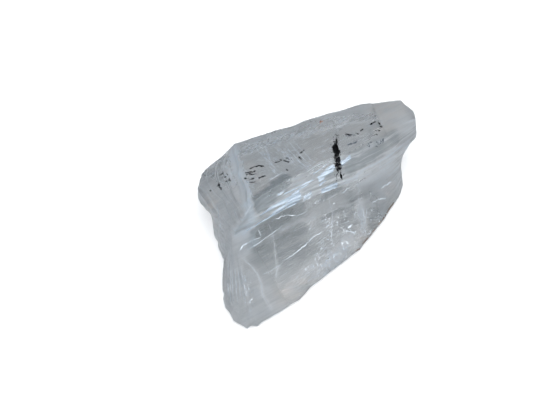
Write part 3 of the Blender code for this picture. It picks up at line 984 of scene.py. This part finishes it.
def make_flecks(name, rows, seed, inside, material):
    """Rows of flecks in the top face, in clumps, and smaller where the stone is thin."""
    strips = Inlays(inside, seed)
    chance = strips.chance
    for density, half_width, row in rows:
        path = wandering(row, sway=0.6, seed=6.0)
        run = path[-1] - path[0]
        heading = math.degrees(math.atan2(run[1], run[0]))
        for _ in range(round(FLECK_SHARE * density * np.linalg.norm(run))):
            spot = spread_along(chance, path, half_width)
            if noise.noise(Vector((*spot, 3.0)) / FLECK_CLUMP) < FLECK_GAP:
                continue
            size = 1.0 if inside.top(*spot) > THIN_BELOW[1] else THIN_FLECK
            strips.scatter(FLECK, spot, heading, size)
    strips.make_piece(name, material)


def make_slit(inside, material):
    """The black slit: a few ragged lenses side by side in the surface, with flecks along their edges."""
    strips = Inlays(inside, seed=23)
    chance = strips.chance
    middle = wandering(SLIT, sway=0.5, seed=5.0, step=FINE_STEP)
    sides = side_directions(middle)
    for aside, half_width, start, end in SLIT_LENSES:
        part = slice(round(start * len(middle)), round(end * len(middle)))
        path = middle[part] + sides[part] * aside
        swell = half_width * np.sin(np.pi * np.linspace(0.02, 0.98, len(path))) ** 0.6
        strips.add(path, swell * np.clip(ragged(path, *SLIT_EDGE), 0.2, None), SLIT_DEPTH)
    for _ in range(SLIT_FLECKS):
        index = int(len(middle) * chance.beta(*SLIT_CROWDING))
        spot = middle[index] + sides[index] * SLIT_SPREAD * chance.normal()
        strips.scatter(SLIT_FLECK, spot, SLIT_FLECK_HEADING)
    strips.make_piece("slit", material)


def make_rust(inside, material):
    """The rust speck, as a few grains."""
    strips = Inlays(inside, seed=29)
    chance = strips.chance
    for _ in range(RUST_GRAINS):
        spot = np.array(RUST) + chance.normal(0.0, RUST_SPREAD, 2)
        angle = chance.uniform(0.0, RUST_GRAIN.spread)
        half_length = chance.uniform(*RUST_GRAIN.half_lengths)
        strips.add_speck(spot, angle, half_length, chance.uniform(*RUST_GRAIN.half_widths))
    strips.make_piece("rust_speck", material)


def edge_of_fin(inside, x):
    """The y at which the fin thins to its knife edge, found in small steps from the middle of the fin."""
    y = MIDDLE_OF_FIN
    while inside.top(x, y) > KNIFE_EDGE_HEIGHT:
        y -= SEARCH_STEP
    return y


def make_dark_edge(inside, material):
    """Dark brown lines, broken into pieces, along the fin's knife edge."""
    strips = Inlays(inside, seed=31)
    for x in np.arange(*DARK_EDGE_SPAN, STEP):
        if noise.noise(Vector((x / 3.0, 5.0, 5.0))) < DARK_EDGE_GAP:
            continue
        places = (x, x + 0.5 * STEP, x + STEP)
        path = np.array([(place, edge_of_fin(inside, place) + DARK_EDGE_INSET) for place in places])
        strips.add(path, DARK_EDGE_HALF_WIDTHS, DARK_EDGE_DEPTH)
    strips.make_piece("dark_edge_lines", material)


# Small helpers for materials

def new_material(name):
    """A new material, its node tree and its shader."""
    material = bpy.data.materials.new(name)
    material.use_nodes = True
    return material, material.node_tree, material.node_tree.nodes["Principled BSDF"]


def add(tree, kind, values=None, **settings):
    """A node of a kind, with values on its sockets and settings on itself."""
    node = tree.nodes.new(kind)
    for name, setting in settings.items():
        setattr(node, name, setting)
    fill(tree, node, values or {})
    return node


def fill(tree, node, values):
    """Links outputs to a node's sockets, or sets plain values on them."""
    for name, value in values.items():
        join(tree, value, node.inputs[name])


def join(tree, value, socket):
    """Links an output to a socket, or sets a plain value on it."""
    if isinstance(value, bpy.types.NodeSocket):
        tree.links.new(value, socket)
    else:
        socket.default_value = value


def calculate(tree, operation, first, second=0.0, clamp=False):
    """One step of arithmetic on values or sockets."""
    node = add(tree, "ShaderNodeMath", {0: first, 1: second}, operation=operation, use_clamp=clamp)
    return node.outputs[0]


def times(tree, first, second, clamp=False):
    """The product of two values or sockets."""
    return calculate(tree, "MULTIPLY", first, second, clamp)


def add_up(tree, first, *others):
    """The sum of values or sockets."""
    for other in others:
        first = calculate(tree, "ADD", first, other)
    return first


def ramp(tree, value, low, high, low_value=0.0, high_value=1.0):
    """A smooth change from one value to another as a value goes from low to high."""
    values = {"Value": value, "From Min": low, "From Max": high, "To Min": low_value, "To Max": high_value}
    return add(tree, "ShaderNodeMapRange", values, interpolation_type="SMOOTHSTEP").outputs["Result"]


def blend(tree, share, first, second):
    """A colour part of the way from the first to the second."""
    node = add(tree, "ShaderNodeMix", data_type="RGBA")
    join(tree, share, node.inputs["Factor"])
    join(tree, first, node.inputs[6])
    join(tree, second, node.inputs[7])
    return node.outputs[2]


def field(tree, name):
    """One of the numbers stored on the crystal's points."""
    return add(tree, "ShaderNodeAttribute", attribute_name=name).outputs["Fac"]


def millimetres(tree):
    """The place on the crystal in millimetres."""
    place = add(tree, "ShaderNodeTexCoord").outputs["Object"]
    values = {0: place, 1: (1 / MM, 1 / MM, 1 / MM)}
    return add(tree, "ShaderNodeVectorMath", values, operation="MULTIPLY").outputs[0]


def stretched_noise(tree, where, per_mm, detail, offset=0.0):
    """Noise whose lumps are stretched: per_mm is how many there are in a millimetre along x, y and z."""
    shift = (offset, offset, offset)
    scaled = add(tree, "ShaderNodeMapping", {"Vector": where, "Scale": per_mm, "Location": shift})
    values = {"Vector": scaled.outputs[0], "Scale": 1.0, "Detail": detail}
    return add(tree, "ShaderNodeTexNoise", values).outputs[0]


def steepness_of_side(tree):
    """1 on the crystal's steep sides and 0 on flat tops."""
    normal = add(tree, "ShaderNodeNewGeometry").outputs["Normal"]
    upright = add(tree, "ShaderNodeSeparateXYZ", {0: normal}).outputs[2]
    return ramp(tree, calculate(tree, "ABSOLUTE", upright), *LAYERED_SIDE, 1.0, 0.0)


def stone_material():
    """Clear selenite with faint streaks, and fine layers on its steep sides. The stored tone also paints shade
    and highlight into its colour.
    """
    material, tree, shader = new_material("selenite")
    where = millimetres(tree)
    streaks = stretched_noise(tree, where, STREAKS, detail=3.0)
    lines = stretched_noise(tree, where, FINE_LINES, detail=2.0, offset=5.0)
    mottle = stretched_noise(tree, where, MOTTLE, detail=4.0, offset=11.0)
    grain = stretched_noise(tree, where, GRAIN, detail=3.0, offset=23.0)
    layers = stretched_noise(tree, where, SIDE_LAYERS, detail=3.0, offset=31.0)
    steep = steepness_of_side(tree)

    streak_tone = ramp(tree, streaks, *SOFT_CHANGE, *STREAK_TONE)
    line_tone = ramp(tree, lines, *CRISP_CHANGE, *LINE_TONE)
    mottle_tone = ramp(tree, mottle, *SOFT_CHANGE, *MOTTLE_TONE)
    layer_tone = times(tree, steep, ramp(tree, layers, *LAYER_CHANGE, *LAYER_TONE))
    # The stored tone brings painted shade and painted highlight into the stone's colour
    tone_and_painted_light = add_up(tree, field(tree, "tone"), streak_tone, line_tone, mottle_tone, layer_tone)
    warm = times(tree, field(tree, "warm"), ramp(tree, mottle, *WARM_CHANGE), clamp=True)
    stone = blend(tree, warm, CLEAR_STONE, WARM_STONE)
    stone = blend(tree, times(tree, tone_and_painted_light, -1.0, clamp=True), stone, DEEP_STONE_AND_SHADE)
    stone = blend(tree, times(tree, tone_and_painted_light, 1.0, clamp=True), stone, MILKY_STONE_AND_HIGHLIGHT)

    grained_tone_and_painted_light = add_up(tree, tone_and_painted_light, times(tree, grain, GRAIN_SHARE))
    rough = ramp(tree, grained_tone_and_painted_light, *ROUGHNESS_TONES, *STONE_ROUGHNESS)
    rough = add_up(tree, rough, times(tree, field(tree, "frost"), FROST_ROUGHNESS))
    side_height = times(tree, times(tree, layers, steep), LAYER_BUMP)
    height = add_up(tree, times(tree, streaks, STREAK_BUMP), times(tree, grain, GRAIN_BUMP), side_height)
    values = {"Height": height, "Strength": BUMP_STRENGTH, "Distance": BUMP_DEPTH * MM}
    bump = add(tree, "ShaderNodeBump", values).outputs[0]

    fill(tree, shader, {"IOR": STONE_IOR, "Transmission Weight": STONE_TRANSMISSION})
    fill(tree, shader, {"Base Color": stone, "Roughness": rough, "Normal": bump})
    values = {"Color": ABSORPTION_COLOUR, "Density": ABSORPTION_DENSITY}
    volume = add(tree, "ShaderNodeVolumeAbsorption", values)
    join(tree, volume.outputs[0], tree.nodes["Material Output"].inputs["Volume"])
    return material


def grain_group():
    """Fine grain for the marks: a colour that changes from one to another, and a roughness."""
    group = bpy.data.node_groups.new("grain", "ShaderNodeTree")
    sockets = (
        ("First", "INPUT", "Color"), ("Second", "INPUT", "Color"), ("Per Millimetre", "INPUT", "Vector"),
        ("Least Roughness", "INPUT", "Float"), ("Color", "OUTPUT", "Color"), ("Roughness", "OUTPUT", "Float"),
    )
    for name, side, kind in sockets:
        group.interface.new_socket(name=name, in_out=side, socket_type="NodeSocket" + kind)
    given = group.nodes.new("NodeGroupInput").outputs
    grain = stretched_noise(group, millimetres(group), given["Per Millimetre"], detail=3.0)
    result = group.nodes.new("NodeGroupOutput").inputs
    colour = blend(group, ramp(group, grain, *CRISP_CHANGE), given["First"], given["Second"])
    rougher = ramp(group, grain, *SOFT_CHANGE, 0.0, MARK_ROUGHNESS_SPREAD)
    rough = add_up(group, given["Least Roughness"], rougher)
    join(group, colour, result["Color"])
    join(group, rough, result["Roughness"])
    return group


def grained_material(name, grain, finish):
    """A finish whose colour changes from one to another in fine grains."""
    material, tree, shader = new_material(name)
    values = {"First": finish.first, "Second": finish.second, "Per Millimetre": finish.per_mm,
              "Least Roughness": finish.least_roughness}
    grains = add(tree, "ShaderNodeGroup", values, node_tree=grain).outputs
    fill(tree, shader, {"Base Color": grains["Color"], "Roughness": grains["Roughness"],
                        "Specular IOR Level": finish.gloss})
    return material


def make_finishes():
    """The materials of the marks, by name."""
    grain = grain_group()
    return {name: grained_material(name, grain, finish) for name, finish in FINISHES.items()}


make_camera()
make_dome()
make_overhead_light()
for softbox in SOFTBOXES:
    make_softbox(*softbox)
make_floor()
bpy.context.scene.view_settings.view_transform = "Standard"

inside = Inside(make_crystal())
finishes = make_finishes()
make_silk(inside, finishes["silk_white"])
make_cracks(inside, finishes["crack_white"])
make_glints(inside, finishes["painted_glint"])
make_sparks(inside, finishes["painted_sparkle"])
make_flecks("flecks", FLECK_ROWS, 19, inside, finishes["fleck_black"])
make_flecks("faint_flecks", FAINT_ROWS, 37, inside, finishes["fleck_faint"])
make_slit(inside, finishes["fleck_black"])
make_rust(inside, finishes["rust"])
make_dark_edge(inside, finishes["edge_brown"])
